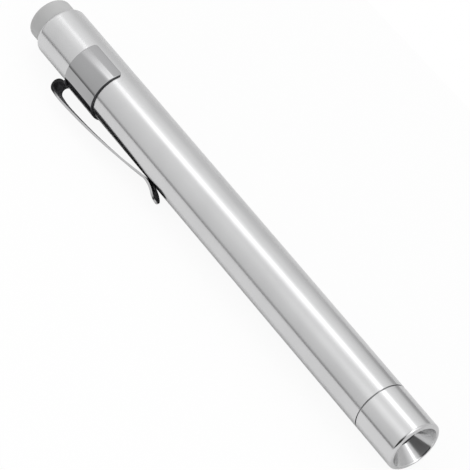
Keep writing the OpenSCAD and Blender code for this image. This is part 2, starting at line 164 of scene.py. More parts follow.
class PenlightSizes(bpy.types.PropertyGroup):
    """Sizes of the penlight's visible pieces"""

    body_d: size("Body diameter", "Outside diameter of barrel and head", 12.7, 12.5, 13.5)
    wall_t: size("Tube wall", "Wall of the drawn tube", 0.6, 0.5, 0.65)
    barrel_len: size("Barrel length", "From the tail lip to the head seam", 123.3, 122.8, 126)
    lip_hole_d: size("Lip hole", "Diameter of the hole in the rolled tail lip", 10.88, 10.8, 11)
    lip_t: size("Lip thickness", "Thickness of the rolled tail lip", 0.7, 0.5, 0.9)
    seam_bevel: size("Seam bevel", "Bevel on each edge of the head seam", 0.04, 0.02, 0.1)
    seam_gap: size("Seam gap", "Width of the groove at the head seam", 0.29, 0.1, 0.4)
    seam_depth: size("Seam depth", "Depth of the groove at the head seam", 0.6, 0.3, 0.7)
    head_len: size("Head length", "From the seam to the front rim", 12, 11.5, 13)
    mouth_d: size("Mouth diameter", "Diameter of the reflector's mouth", 10.5, 10.3, 10.6)
    rim_round: size("Rim rounding", "Rounding of the front rim", 0.74, 0.5, 0.9)
    rim_lip_t: size("Rim lip", "Thickness of the rim rolled over the reflector", 0.2, 0.15, 0.4)
    cone_depth: size("Cone depth", "Depth of the reflector cone", 4, 3.8, 4.4)
    apex_d: size("Lamp hole", "Diameter of the lamp hole in the cone", 5.24, 5.2, 5.4)
    reflector_t: size("Reflector wall", "Wall of the spun reflector", 0.3, 0.25, 0.35)
    spigot_len: size("Spigot length", "Length of the screwed spigot", 6.5, 6.2, 7)
    thread_pitch: size("Thread pitch", "Advance of the head for each turn", 1, 0.9, 1.1)
    thread_depth: size("Thread depth", "Height of the thread's crest over its root", 0.33, 0.2, 0.4)
    lamp_d: size("Lamp diameter", "Diameter of the lamp's clear body", 5, 4.9, 5.1)
    lamp_flange_d: size("Lamp flange", "Diameter of the lamp's flange", 5.8, 5.6, 6)
    lamp_flange_t: size("Flange thickness", "Thickness of the lamp's flange", 1, 0.8, 1.2)
    lamp_len: size("Lamp length", "From the lamp's base to its dome", 8.7, 8.5, 9)
    lamp_stand: size("Lamp stand", "How far the dome stands in the cone", 0.7, 0.5, 0.9)
    button_d: size("Button diameter", "Diameter of the push button", 10.7, 10.5, 10.72)
    button_stand: size("Button stand", "How far the button stands out", 4.7, 4, 5)
    button_round: size("Button rounding", "Rounding of the button's edge", 0.7, 0.4, 1)
    flange_t: size("Button flange", "Thickness of the button's flange", 1.5, 1.2, 1.8)
    wire_d: size("Spring wire", "Wire of both springs", 0.5, 0.4, 0.6)
    clip_t: size("Strip thickness", "Thickness of the clip's spring steel", 0.5, 0.4, 0.6)
    band_len: size("Band length", "Length of the clip band along the barrel", 10.6, 9, 12)
    band_from_lip: size("Band place", "From the tail lip to the band", 13, 11, 14)
    band_wrap: bend("Band wrap", "Angle that the band wraps round the barrel", 265, 240, 270)
    band_corner: size("Band corner", "Rounding of the band's corners", 0.8, 0.4, 1.5)
    root_w: size("Root width", "Width of the strip at the hairpin", 4.8, 4, 6)
    tip_w: size("Tip width", "Width of the strip at its tip", 3.8, 3, 4.6)
    arm_climb: bend("Climb", "Climb of the strip out of the hairpin", 7, 6, 8)
    crest_len: size("Crest length", "Length of the curve over the crest", 4.2, 3, 6)
    crest_fall: bend("Crest fall", "Fall of the strip after the crest", 2.1, 1.5, 3)
    run_len: size("Run length", "Length of the bowed run to the foot", 27.5, 26, 30)
    foot_fall: bend("Foot fall", "Fall of the strip as it reaches the foot", 10.7, 10, 11.5)
    foot_r: size("Foot radius", "Bending radius of the foot", 8.8, 7, 11)
    tip_lift: bend("Tip lift", "Lift of the strip's tip", 24.4, 18, 32)
    tip_len: size("Tip length", "Straight length of the tip", 2.3, 1.5, 4)


class PenlightFinishes(bpy.types.PropertyGroup):
    """Colours of the penlight's materials"""

    tube: tint("Tube", "Polished tube of the barrel", (0.61, 0.61, 0.615))
    head: tint("Head", "Polished metal of the head", (0.62, 0.62, 0.625))
    mirror: tint("Mirror", "Spun mirror of the reflector", (0.54, 0.54, 0.545))
    clip: tint("Clip", "Polished spring steel of the clip", (0.385, 0.385, 0.39))
    cut_edge: tint("Cut edge", "Cut edge of the clip's strip", (0.50, 0.50, 0.505))
    # Painted shade: dark colour of the clip's inner side and the band's edges
    inner_shade: tint("Temper", "Dark tempered steel on the clip's unpolished side", (0.085, 0.085, 0.09))
    button: tint("Button", "Satin plastic of the push button", (0.50, 0.50, 0.50))
    resin: tint("Resin", "Clear resin of the lamp", (0.97, 0.98, 1.0))
    phosphor: tint("Phosphor", "Phosphor on the lamp's chip", (0.86, 0.66, 0.12))
    tinned: tint("Tinned leads", "Tinned metal of the lamp's leads", (0.66, 0.66, 0.65))
    brass: tint("Brass", "Brass of the contacts", (0.66, 0.47, 0.20))
    steel: tint("Steel", "Bright steel of cans, washer and springs", (0.52, 0.52, 0.53))
    jacket: tint("Jacket", "Sleeve of the cells", (0.10, 0.20, 0.34))
    card: tint("Card", "Card tube round the cells", (0.66, 0.55, 0.38))
    ivory: tint("Ivory plastic", "Plastic of the switch body", (0.72, 0.68, 0.58))
    dark: tint("Dark plastic", "Plastic of the lamp holder", (0.07, 0.07, 0.075))


class PenlightStage(bpy.types.PropertyGroup):
    """Floor, light and camera"""

    floor_side: size("Floor side", "Side of the square floor", 8000, 2000, 20000)
    floor: tint("Floor", "Colour of the pale floor", (0.93, 0.93, 0.93))
    floor_glow: share("Floor white", "Share of plain white that the camera sees on the floor", 0.92)
    key_light: share("Key light", "Light of the long soft box over the barrel", 0.62, 4.0)
    front_light: share("Front light", "Light of the soft box before the head", 0.9, 4.0)
    azimuth: bend("Azimuth", "Direction of the camera round the object", 56.1, -180, 180)
    elevation: bend("Elevation", "Height of the camera over the floor", 52.3, 0, 90)
    distance: size("Distance", "From the camera to its target", 637.3, 300, 2000)


def only(piece):
    """Leaves one object selected and active, in object mode."""
    if bpy.context.object and bpy.context.object.mode != "OBJECT":
        bpy.ops.object.mode_set(mode="OBJECT")
    bpy.ops.object.select_all(action="DESELECT")
    if piece:
        piece.select_set(True)
        bpy.context.view_layer.objects.active = piece


def begin(name):
    """Names the primitive that was just added and sets its place into its mesh."""
    piece = bpy.context.object
    piece.name = piece.data.name = name
    bpy.ops.object.transform_apply()
    return piece


def edit_all(kind):
    """Selects all points, edges or faces of the active piece, in edit mode."""
    bpy.ops.object.mode_set(mode="EDIT")
    bpy.ops.mesh.select_mode(type=kind)
    bpy.ops.mesh.select_all(action="SELECT")


def merge_points():
    """In edit mode, merges the points that lie in one place."""
    bpy.ops.mesh.select_all(action="SELECT")
    bpy.ops.mesh.remove_doubles(threshold=CLOSE)


def face_out():
    """In edit mode, turns all faces outwards."""
    bpy.ops.mesh.select_all(action="SELECT")
    bpy.ops.mesh.normals_make_consistent(inside=False)


def pick(piece, kind, test):
    """In edit mode, selects what passes the test: points, edges by both ends, or faces by their middle."""
    bpy.ops.object.mode_set(mode="EDIT")
    bpy.ops.mesh.select_mode(type=kind)
    bpy.ops.mesh.select_all(action="DESELECT")
    bpy.ops.object.mode_set(mode="OBJECT")
    mesh = piece.data
    points = mesh.vertices
    if kind == "VERT":
        found = [point for point in points if test(point.co)]
    elif kind == "EDGE":
        found = [edge for edge in mesh.edges if all(test(points[i].co) for i in edge.vertices)]
    else:
        found = [face for face in mesh.polygons if test(face.center)]
    if not found:
        raise RuntimeError(f"nothing to select on {piece.name}")
    for item in found:
        item.select = True
    bpy.ops.object.mode_set(mode="EDIT")


def finish_modifier(piece, kind, **values):
    """Adds a modifier and applies it."""
    only(piece)
    modifier = piece.modifiers.new(kind.title(), kind)
    for key, value in values.items():
        setattr(modifier, key, value)
    bpy.ops.object.modifier_apply(modifier=modifier.name)


def smooth(piece, degrees=32):
    """Smooth shading with crisp edges, its normals led by the large faces."""
    only(piece)
    bpy.ops.object.shade_smooth_by_angle(angle=radians(degrees))
    finish_modifier(piece, "WEIGHTED_NORMAL", keep_sharp=True, weight=90)


def at(station, radius):
    """Place of a station and radius above the barrel's axis, in the row frame."""
    return Vector((station - total_length / 2, axis_point.y, axis_point.z + radius))


def drawn(name, places, closed):
    """A line through places, extruded from a plane that is merged to one point, and left in edit mode."""
    only(None)
    bpy.ops.mesh.primitive_plane_add(size=MM, location=places[0])
    piece = begin(name)
    edit_all("VERT")
    bpy.ops.mesh.merge(type="CENTER")
    route = places + places[:1] if closed else places
    for here, there in zip(route, route[1:]):
        bpy.ops.mesh.extrude_vertices_move(TRANSFORM_OT_translate={"value": there - here})
    merge_points()
    return piece


def turned(name, corners, closed=True):
    """A piece turned from corners of (station, radius), rounded where a setback and segments follow."""
    places = [at(corner[0], corner[1]) for corner in corners]
    piece = drawn(name, places, closed)
    for corner, place in zip(corners, places):
        if len(corner) > 2:
            pick(piece, "VERT", lambda point: (point - place).length < CLOSE)
            bpy.ops.mesh.bevel(affect="VERTICES", offset=corner[2], segments=corner[3])
    bpy.ops.mesh.select_all(action="SELECT")
    bpy.ops.mesh.spin(steps=SEGMENTS, angle=tau, center=axis_point, axis=(1, 0, 0))
    merge_points()
    face_out()
    smooth(piece)
    return piece


def helical_rib(name, tooth, first, turns, pitch):
    """A thread's rib: a tooth of (station, radius) screwed along the axis, with its ends closed."""
    piece = drawn(name, [at(first + station, radius) for station, radius in tooth], True)
    only(piece)
    bpy.context.scene.cursor.location = axis_point
    bpy.ops.object.origin_set(type="ORIGIN_CURSOR")
    steps = int(turns * THREAD_STEPS)
    finish_modifier(
        piece, "SCREW", axis="X", angle=tau * turns, screw_offset=pitch * turns,
        steps=steps, render_steps=steps, use_smooth_shade=False,
    )
    bpy.ops.object.transform_apply()
    bpy.ops.object.mode_set(mode="EDIT")
    merge_points()
    bpy.ops.mesh.select_mode(type="EDGE")
    bpy.ops.mesh.select_all(action="DESELECT")
    bpy.ops.mesh.select_non_manifold()
    bpy.ops.mesh.fill()
    face_out()
    only(piece)
    bpy.ops.object.shade_smooth_by_angle(angle=30 * DEGREE)
    return piece


def coil(name, node, first_r, last_r, turns, wire_d):
    """A spring's wire drawn step by step round the axis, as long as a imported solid."""
    low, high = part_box(node)
    first, last = low[0] + wire_d / 2, high[0] - wire_d / 2
    turn = tau / COIL_STEPS
    steps = turns * COIL_STEPS
    ahead = (last - first) / steps
    out = (last_r - first_r) / steps
    only(None)
    bpy.ops.mesh.primitive_circle_add(
        vertices=12, radius=wire_d / 2, fill_type="NGON", rotation=(pi / 2, 0, 0),
        location=(first, axis_point.y, axis_point.z + first_r),
    )
    piece = begin(name)
    edit_all("FACE")
    for step in range(steps):
        here = step * turn
        move = (ahead, out * sin(here), out * cos(here))
        bpy.ops.mesh.extrude_region_move(TRANSFORM_OT_translate={"value": move})
        bpy.ops.transform.rotate(value=turn, orient_axis="X", center_override=axis_point)
    face_out()
    smooth(piece)
    return piece


def dimmed(colour, factor):
    return tuple(channel * factor for channel in colour)


class Nodes:
    """The node tree of a material or of the sky, and short ways to add nodes to it."""

    def __init__(self, owner):
        owner.use_nodes = True
        self.tree = owner.node_tree

    def put(self, socket, value):
        """Links a socket to another one, or sets its value."""
        if isinstance(value, bpy.types.NodeSocket):
            self.tree.links.new(value, socket)
        else:
            socket.default_value = value

    def set(self, node, **inputs):
        for key, value in inputs.items():
            self.put(node.inputs[key.replace("_", " ")], value)

    def add(self, kind, **inputs):
        node = self.tree.nodes.new("ShaderNode" + kind)
        self.set(node, **inputs)
        return node

    def calc(self, operation, *values):
        """One sum of up to three values."""
        node = self.add("Math")
        node.operation = operation
        for socket, value in zip(node.inputs, values):
            self.put(socket, value)
        return node.outputs[0]

    def ramp(self, value, start, end, low=0.0, high=1.0, easing="SMOOTHSTEP"):
        """Maps a value from one range to another and holds it at the ends."""
        node = self.add("MapRange", Value=value, From_Min=start, From_Max=end, To_Min=low, To_Max=high)
        node.interpolation_type = easing
        return node.outputs["Result"]

    def between(self, factor, a, b):
        """a where the factor is 0 and b where it is 1."""
        rest = self.calc("MULTIPLY", self.calc("SUBTRACT", 1.0, factor), a)
        return self.calc("ADD", rest, self.calc("MULTIPLY", factor, b))

    def split(self, vector):
        """The three parts of a vector."""
        return self.add("SeparateXYZ", Vector=vector).outputs


class Finish(Nodes):
    """A procedural material with one shader, and the patterns that it is made from."""

    def __init__(self, name):
        self.material = bpy.data.materials.new(name)
        super().__init__(self.material)
        self.shader = self.tree.nodes["Principled BSDF"]
        self.place = self.add("TexCoord").outputs["Object"]

    def made(self, **inputs):
        """Sets the shader and gives the finished material."""
        self.set(self.shader, **inputs)
        return self.material

    def grain(self, scale, detail=2.0, stretch=(1, 1, 1)):
        """Noise of so many periods for each metre, stretched along the axes."""
        place = self.add("Mapping", Vector=self.place, Scale=stretch).outputs["Vector"]
        return self.add("TexNoise", Vector=place, Scale=scale, Detail=detail).outputs["Fac"]

    def spread(self, value, low, high, start=0.3, end=0.7):
        """Maps noise to a range of numbers."""
        return self.ramp(value, start, end, low, high, "LINEAR")

    def shades(self, value, colours):
        """Maps a value to a run of colours."""
        node = self.add("ValToRGB", Fac=value)
        run = node.color_ramp.elements
        while len(run) < len(colours):
            run.new(0.5)
        for element, (position, colour) in zip(run, colours):
            element.position = position
            element.color = (*colour, 1.0)
        return node.outputs["Color"]

    def clouded(self, cloud, colour, dark, light):
        """A colour that drifts between two strengths."""
        return self.shades(cloud, [(0.3, dimmed(colour, dark)), (0.7, dimmed(colour, light))])

    def relief(self, height, depth, under=None):
        """Bump of a depth in metres, on top of another bump where one is given."""
        node = self.add("Bump", Height=height, Distance=depth)
        if under:
            self.set(node, Normal=under)
        return node.outputs["Normal"]


def polished(name, colour, rough, wave, draw):
    """Polished metal with soft waves in its surface and faint lines along the barrel."""
    finish = Finish(name)
    lines = finish.grain(900.0, 3.0, (0.02, 1.0, 1.0))
    waves = finish.relief(finish.grain(70.0, 1.0, (0.35, 1.0, 1.0)), wave)
    return finish.made(
        Metallic=1.0,
        Base_Color=finish.clouded(finish.grain(110.0), colour, 0.97, 1.02),
        Roughness=finish.spread(lines, rough * 0.85, rough * 1.2),
        Normal=finish.relief(lines, draw, waves),
    )


def moulded(name, colour, rough, grain, depth):
    """Moulded plastic with a fine matt grain."""
    finish = Finish(name)
    speck = finish.grain(grain, 3.0)
    return finish.made(
        Base_Color=finish.clouded(finish.grain(160.0), colour, 0.95, 1.04),
        Roughness=finish.spread(speck, rough * 0.9, rough * 1.1),
        Normal=finish.relief(speck, depth),
    )


def bright(name, colour, rough):
    """Plain bright metal with small rolling marks and a little tarnish."""
    finish = Finish(name)
    marks = finish.grain(500.0, 3.0)
    return finish.made(
        Metallic=1.0,
        Base_Color=finish.clouded(finish.grain(180.0, 3.0), colour, 0.9, 1.05),
        Roughness=finish.spread(marks, rough * 0.8, rough * 1.25),
        Normal=finish.relief(marks, 4 * MICRON),
    )


def shade_painted(name, colour):
    """Steel painted dark as shade on the clip's inner side and the band's edges, with a painted lighter
    patch inside the hairpin and darkest towards the tip of the strip.
    """
    finish = Finish(name)
    cloud = finish.grain(260.0, 3.0)
    shift = finish.spread(cloud, -4 * MM, 4 * MM)
    along = finish.calc("ADD", finish.split(finish.place)["X"], shift)
    # Painted shade along the strip: dark over the hairpin's bend, a lighter patch inside the hairpin,
    # darkest from the arm on towards the tip
    strengths = [(0.0, 0.3), (0.11, 1.7), (0.22, 1.0), (1.0, 0.15)]
    return finish.made(
        Base_Color=finish.shades(
            finish.spread(along, 0.0, 1.0, -56 * MM, -20 * MM),
            [(position, dimmed(colour, strength)) for position, strength in strengths],
        ),
        Roughness=finish.spread(cloud, 0.3, 0.42),
        Normal=finish.relief(cloud, 3 * MICRON),
        Specular_IOR_Level=0.15,
    )


def edge_with_painted_shade(name, colour, first, last):
    """Cut edge of the strip, with painted shade round the bend up to a place along the barrel."""
    finish = Finish(name)
    marks = finish.grain(900.0, 2.0, (0.2, 1.0, 1.0))
    along = finish.spread(finish.split(finish.place)["X"], 0.0, 1.0, first, last)
    return finish.made(
        Metallic=1.0,
        Base_Color=finish.shades(along, [(0.0, dimmed(colour, 0.06)), (1.0, colour)]),
        Roughness=finish.spread(marks, 0.2, 0.3),
        Normal=finish.relief(marks, MICRON),
    )


def spun_mirror(name, colour):
    """Mirror with very fine rings left by the spinning."""
    finish = Finish(name)
    centred = finish.add("Mapping", Vector=finish.place, Location=-axis_point).outputs["Vector"]
    depth = finish.add("CombineXYZ", X=finish.split(centred)["X"]).outputs["Vector"]
    rings = finish.add("TexNoise", Vector=depth, Scale=6000.0, Detail=2.0).outputs["Fac"]
    return finish.made(
        Metallic=0.73,
        Base_Color=finish.clouded(finish.grain(200.0), colour, 0.97, 1.02),
        Roughness=finish.spread(rings, 0.10, 0.14),
        Normal=finish.relief(rings, 2 * MICRON),
    )


def clear_resin(name, colour):
    """Clear cast resin with slight cloudiness."""
    finish = Finish(name)
    cloud = finish.grain(300.0)
    return finish.made(
        Base_Color=finish.clouded(cloud, colour, 0.98, 1.0),
        Roughness=finish.spread(cloud, 0.02, 0.05),
        Transmission_Weight=1.0,
        IOR=1.5,
    )


def clothe(piece, *materials):
    """Gives a new piece its materials."""
    piece.data.materials.clear()
    for material in materials:
        piece.data.materials.append(material)


def paint_faces(piece, index, test):
    """Gives the faces that pass the test another of the piece's materials."""
    pick(piece, "FACE", test)
    piece.active_material_index = index
    bpy.ops.object.material_slot_assign()
    only(piece)


def dress(material, *nodes):
    """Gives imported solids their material."""
    for node in nodes:
        solid = frame["nodes"][node]
        if not solid.material_slots:
            solid.data.materials.append(material)
        for slot in solid.material_slots:
            slot.material = material


def settings(context):
    """Sizes and finishes of the penlight."""
    return context.scene.penlight_sizes, context.scene.penlight_finishes


def body_values(sizes):
    """Radii and stations of the barrel and the head."""
    v = SimpleNamespace(body=sizes.body_d / 2, lip=sizes.button_stand, lip_hole=sizes.lip_hole_d / 2)
    v.bore = v.body - sizes.wall_t
    v.mouth = sizes.mouth_d / 2
    v.seam = v.lip + sizes.barrel_len
    v.lip_inner = v.lip + sizes.lip_t
    v.front = v.seam + sizes.head_len
    v.spigot = v.seam - sizes.spigot_len
    v.spigot_r = v.bore - SCREW_GAP
    v.holder_bore = v.spigot_r - HEAD_WALL
    v.cup = v.body - HEAD_WALL
    v.shoulder = v.seam + SHOULDER_T
    v.rim_inner = v.front - sizes.rim_lip_t
    v.apex_r = sizes.apex_d / 2
    v.apex = v.rim_inner - sizes.cone_depth
    v.neck = v.apex - NECK_LEN
    return v


class PENLIGHT_OT_barrel(bpy.types.Operator):
    """Turns the drawn tube with its rolled tail lip and its bevelled seam"""

    bl_idname = "penlight.barrel"
    bl_label = "Barrel"

    def execute(self, context):
        sizes, finishes = settings(context)
        v = body_values(sizes)
        tail_round = v.body - v.lip_hole
        end_loop = 3 * MM
        barrel = turned("barrel_tube", [
            (v.lip, v.lip_hole), (v.lip, v.body, tail_round * 0.98, 12),
            (v.lip + tail_round + LOOP_GAP, v.body), (v.lip + end_loop, v.body),
            (v.seam - end_loop, v.body), (v.seam - LOOP_GAP, v.body),
            (v.seam, v.body, sizes.seam_bevel, 3), (v.seam, v.bore, *FINE),
            (v.lip_inner, v.bore), (v.lip_inner, v.lip_hole, *FINE),
        ])
        clothe(barrel, polished("polished_tube", finishes.tube, 0.17, 12 * MICRON, 0.8 * MICRON))
        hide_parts("barrel")
        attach(barrel, "barrel")
        return {"FINISHED"}


class PENLIGHT_OT_head(bpy.types.Operator):
    """Turns the head with its rounded rim and screws the thread onto its spigot"""

    bl_idname = "penlight.head"
    bl_label = "Head"

    def execute(self, context):
        sizes, finishes = settings(context)
        v = body_values(sizes)
        rise = sizes.thread_depth
        root = v.spigot_r - rise
        neck = v.seam - UNDERCUT_LEN
        face = v.seam + sizes.seam_gap
        groove = v.body - sizes.seam_depth
        run = 0.775 * sizes.rim_round
        end_loop = 2 * MM
        head = turned("head_shell_turned", [
            (v.spigot, v.holder_bore, 0.08 * MM, 2), (v.spigot, root, *FINE),
            (neck, root), (neck + 0.2 * MM, root - UNDERCUT),
            (v.seam, root - UNDERCUT), (v.seam, groove),
            (face, groove), (face, v.body, sizes.seam_bevel, 3),
            (face + LOOP_GAP, v.body), (face + end_loop, v.body),
            (v.front - end_loop, v.body), (v.front - run - 0.1 * MM, v.body),
            (v.front - run, v.body, *CRISP),
            (v.front, v.body - run * tan(RIM_CREASE), 0.93 * run / cos(RIM_CREASE), 12),
            (v.front, v.mouth + LIP_CHAMFER, 0.05 * MM, 3),
            (v.rim_inner, v.mouth), (v.rim_inner, v.cup),
            (v.shoulder, v.cup), (v.shoulder, v.holder_bore),
        ])
        half = sizes.thread_pitch / 2
        sunk = root - 0.05 * MM
        crest = root + rise
        tooth = [
            (-0.78 * half, sunk), (-0.72 * half, root), (-0.2 * half, crest),
            (0.2 * half, crest), (0.72 * half, root), (0.78 * half, sunk),
        ]
        turns = (neck - v.spigot) / sizes.thread_pitch - 1.0
        rib = helical_rib("head_thread", tooth, v.spigot + half, turns, sizes.thread_pitch)
        only(head)
        rib.select_set(True)
        bpy.ops.object.join()
        smooth(head)
        clothe(head, polished("polished_head", finishes.head, 0.15, 6 * MICRON, 0.8 * MICRON))
        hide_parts("head_shell")
        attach(head, "head")
        return {"FINISHED"}


class PENLIGHT_OT_reflector(bpy.types.Operator):
    """Turns the spun mirror cone with its step, its neck and its flange, and paints shade on the step and in
    the lamp hole
    """

    bl_idname = "penlight.reflector"
    bl_label = "Reflector"

    def execute(self, context):
        sizes, finishes = settings(context)
        v = body_values(sizes)
        flange = v.cup - PRESS_GAP
        outer = v.apex_r + sizes.reflector_t
        step_r = v.apex_r + STEP_W
        step = v.rim_inner - sizes.cone_depth * (v.mouth - step_r) / (v.mouth - v.apex_r)
        ledge = step - STEP_DEPTH
        reflector = turned("mirror_cone", [
            (v.rim_inner, v.mouth),
            (step, step_r, *CRISP),
            (ledge, step_r, *CRISP), (ledge, v.apex_r, *CRISP),
            (v.neck, v.apex_r), (v.neck, outer),
            (v.apex, outer, *FINE),
            (v.rim_inner - REFLECTOR_FLANGE_T, flange),
            (v.rim_inner, flange),
        ])
        # Painted shade: dark plastic colour on the step and in the lamp hole, where the gap round the lamp
        # lies in shadow
        shade = moulded("hole_painted_shade", finishes.dark, 0.6, 2500.0, 4 * MICRON)
        clothe(reflector, spun_mirror("spun_mirror", finishes.mirror), shade)
        shaded = at(step, 0).x - 0.02 * MM

        def in_hole(point):
            radius = hypot(point.y - axis_point.y, point.z - axis_point.z)
            return point.x < shaded and radius < step_r + 0.01 * MM

        paint_faces(reflector, 1, in_hole)
        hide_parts("reflector")
        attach(reflector, "head")
        return {"FINISHED"}


class PENLIGHT_OT_lamp(bpy.types.Operator):
    """Turns the clear lamp and finishes the metal cast into it"""

    bl_idname = "penlight.lamp"
    bl_label = "Lamp"

    def execute(self, context):
        sizes, finishes = settings(context)
        radius = sizes.lamp_d / 2
        flange = sizes.lamp_flange_d / 2
        top = body_values(sizes).apex + sizes.lamp_stand
        base = top - sizes.lamp_len
        collar = base + sizes.lamp_flange_t
        lamp = turned("clear_lamp", [
            (base, 0.0), (base, flange, *CAST),
            (collar, flange, *CAST), (collar, radius, *FINE),
            (top, radius, radius * 0.999, 16), (top, 0.0),
        ], closed=False)
        clothe(lamp, clear_resin("clear_resin", finishes.resin))
        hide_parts("lamp")
        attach(lamp, "head")
        dress(moulded("chip_phosphor", finishes.phosphor, 0.6, 9000.0, 3 * MICRON), "lamp_chip")
        dress(bright("tinned_lead", finishes.tinned, 0.3), "anode_lead", "cathode_lead")
        dress(moulded("holder_plastic", finishes.dark, 0.5, 2500.0, 6 * MICRON), "lamp_holder")
        dress(bright("contact_brass", finishes.brass, 0.24), "lamp_contact")
        return {"FINISHED"}


class PENLIGHT_OT_button(bpy.types.Operator):
    """Turns the hollow push button with its crowned face and its flange"""

    bl_idname = "penlight.button"
    bl_label = "Push button"

    def execute(self, context):
        sizes, finishes = settings(context)
        v = body_values(sizes)
        radius = sizes.button_d / 2
        cavity = radius - BUTTON_WALL
        flange = v.bore - SLIDE_GAP
        end = v.lip_inner + sizes.flange_t
        button = turned("push_button_cap", [
            (0.0, 0.0), (0.02 * MM, radius * 0.45), (0.08 * MM, radius * 0.8),
            (0.12 * MM, radius, sizes.button_round, 10),
            (1.6 * MM, radius),
            (v.lip_inner, radius), (v.lip_inner, flange, *SOFT),
            (end, flange, *SOFT), (end, cavity, *SOFT),
            (BUTTON_FLOOR, cavity), (BUTTON_FLOOR, STAKE_R),
            (STAKE_END, STAKE_R), (STAKE_END, 0.0),
        ], closed=False)
        clothe(button, moulded("satin_button", finishes.button, 0.5, 2600.0, 6 * MICRON))
        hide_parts("push_button")
        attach(button, "button")
        return {"FINISHED"}


def strip_walk(line, stretch, turn, steps):
    """Adds one straight or curved stretch to a centre line of (station, reach, heading)."""
    station, reach, heading = line[-1]
    for step in range(1, steps + 1):
        a = heading + turn * step / steps
        if turn:
            r = stretch / turn
            along = r * (sin(a) - sin(heading))
            out = r * (cos(heading) - cos(a))
        else:
            along = stretch * step / steps * cos(a)
            out = stretch * step / steps * sin(a)
        line.append((station + along, reach + out, a))


def reach_at(line, station):
    """Reach of the outer part of the strip at a station."""
    outer = [point for point in line if point[2] < pi / 2]
    for a, b in zip(outer, outer[1:]):
        if a[0] <= station <= b[0]:
            return a[1] + (b[1] - a[1]) * (station - a[0]) / (b[0] - a[0])
    raise RuntimeError("the station lies outside the strip")


def clip_rows(sizes):
    """Rows of (station, reach, half width) along the strip, from the band's edge to the tip."""
    body = sizes.body_d / 2
    climb, crest_fall, foot_fall = sizes.arm_climb, sizes.crest_fall, sizes.foot_fall
    stem = body + STEM_GAP + sizes.clip_t / 2
    foot_level = body + FOOT_GAP + sizes.clip_t / 2
    crest_r = sizes.crest_len / (climb + crest_fall)
    run_r = sizes.run_len / (foot_fall - crest_fall)
    crest_drop = crest_r * (cos(crest_fall) - cos(climb))
    run_drop = run_r * (cos(foot_fall) - cos(crest_fall))
    foot_drop = sizes.foot_r * (cos(foot_fall) - 1)
    hairpin_r = (foot_level - stem - crest_drop - run_drop - foot_drop) / (1 + cos(climb))
    hairpin = sizes.button_stand + sizes.band_from_lip - STEM_LEAD
    foot_turn = foot_fall + sizes.tip_lift
    line = [(hairpin, stem, pi)]
    strip_walk(line, hairpin_r * (pi - climb), climb - pi, 30)
    strip_walk(line, sizes.crest_len, -climb - crest_fall, 8)
    strip_walk(line, sizes.run_len, crest_fall - foot_fall, 14)
    strip_walk(line, sizes.foot_r * foot_turn, foot_turn, 14)
    foot_end, foot_reach, lift = line[-1]
    strip_walk(line, sizes.tip_len, 0, 1)
    root, end = sizes.root_w / 2, sizes.tip_w / 2
    width_from = hairpin + (crest_r - hairpin_r) * sin(climb)
    tip_middle = line[-1][0] - end
    rows = []
    for station, reach, heading in line[:-1]:
        outer = heading < pi / 2
        if outer and station > tip_middle:
            continue
        half = root
        if outer and station > width_from:
            half += (end - root) * (station - width_from) / (tip_middle - width_from)
        rows.append((station, reach, half))
    for step in range(8):
        a = 12 * DEGREE * step
        station = tip_middle + end * sin(a)
        if station < foot_end:
            reach = reach_at(line, station)
        else:
            reach = foot_reach + (station - foot_end) * tan(lift)
        rows.append((station, reach, end * cos(a)))
    return rows


def band_values(sizes):
    """Edges along the barrel, middle radius and half angle of the clip band."""
    band = SimpleNamespace(half_wrap=sizes.band_wrap / 2)
    band.middle = sizes.body_d / 2 + PRESS_GAP + sizes.clip_t / 2
    band.edge = sizes.button_stand + sizes.band_from_lip - total_length / 2
    band.far = band.edge + sizes.band_len
    return band


def turn_of(point):
    """Angle of a point round the band, from the middle of the strip."""
    return atan2(point.y, point.z)


